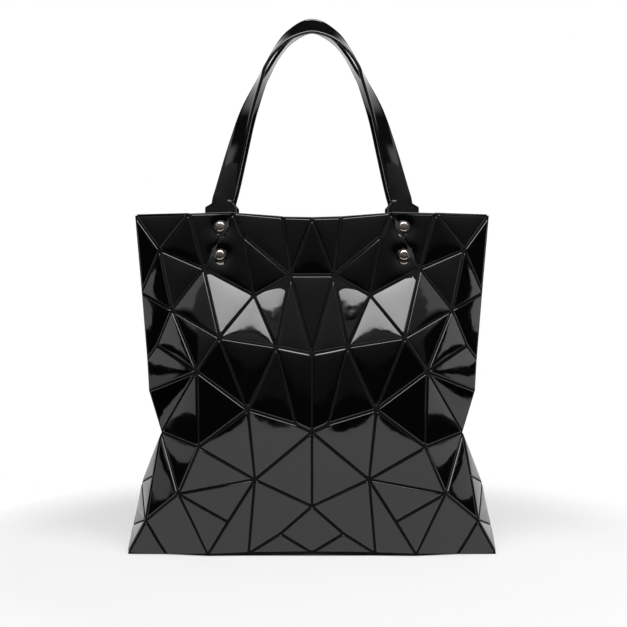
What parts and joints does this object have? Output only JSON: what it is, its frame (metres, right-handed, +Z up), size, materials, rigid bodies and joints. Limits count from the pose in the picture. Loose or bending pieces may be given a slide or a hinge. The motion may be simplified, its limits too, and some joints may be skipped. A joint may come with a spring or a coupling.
{
  "type": "structured tote bag",
  "caption": "Free-standing tote of gloss black tiles on cloth, with arched strap handles on riveted feet, folding gussets, a lining and an inside zip pocket.",
  "frame": {"origin": "on the ground under the middle of the bag", "axes": "+Z up; +X to the right as seen from the front; the front looks toward -Y, so +Y runs through the bag's depth to its back"},
  "size_m": [0.3722, 0.1436, 0.5434],
  "materials": {
    "plate": "polished rigid PVC tiles on black mesh cloth",
    "strap": "polished flexible PVC strap with rolled edges",
    "facing_cloth": "coated black cloth",
    "lining_cloth": "matt black woven lining",
    "zip_tape": "woven tape with moulded teeth",
    "rivet_metal": "polished warm silver",
    "zip_metal": "dark nickel"
  },
  "bodies": {
    "bag": {"front_panel": "plate", "back_panel": "plate", "left_gusset": "plate", "right_gusset": "plate", "base_panel": "plate", "mouth_binding": "plate", "mouth_facing": "facing_cloth", "lining": "lining_cloth", "pocket_pouch": "lining_cloth", "pocket_zip": "zip_tape", "front_left_handle_foot": "strap", "front_left_upper_rivet": "rivet_metal", "front_left_upper_burr": "rivet_metal", "front_left_lower_rivet": "rivet_metal", "front_left_lower_burr": "rivet_metal", "front_right_handle_foot": "strap", "front_right_upper_rivet": "rivet_metal", "front_right_upper_burr": "rivet_metal", "front_right_lower_rivet": "rivet_metal", "front_right_lower_burr": "rivet_metal", "back_left_handle_foot": "strap", "back_left_upper_rivet": "rivet_metal", "back_left_upper_burr": "rivet_metal", "back_left_lower_rivet": "rivet_metal", "back_left_lower_burr": "rivet_metal", "back_right_handle_foot": "strap", "back_right_upper_rivet": "rivet_metal", "back_right_upper_burr": "rivet_metal", "back_right_lower_rivet": "rivet_metal", "back_right_lower_burr": "rivet_metal"},
    "front_handle": {"front_handle": "strap"},
    "back_handle": {"back_handle": "strap"},
    "zip_slider": {"pocket_slider": "zip_metal"},
    "zip_pull": {"pocket_pull": "zip_metal"}
  },
  "joints": [
    {"name": "front_handle_fold", "type": "hinge", "parent": "bag", "child": "front_handle", "pos_m": [0, -0.02511, 0.35633], "axis": [1, 0, 0], "range_deg": [0, 135]},
    {"name": "back_handle_fold", "type": "hinge", "parent": "bag", "child": "back_handle", "pos_m": [0, 0.02511, 0.35633], "axis": [-1, 0, 0], "range_deg": [0, 135]},
    {"name": "zip_slide", "type": "slide", "parent": "bag", "child": "zip_slider", "axis": [1, 0, 0], "range_m": [0, 0.086]},
    {"name": "zip_pull_swing", "type": "hinge", "parent": "zip_slider", "child": "zip_pull", "pos_m": [-0.043, 0.01697, 0.312], "axis": [-1, 0, 0], "range_deg": [0, 160]}
  ]
}
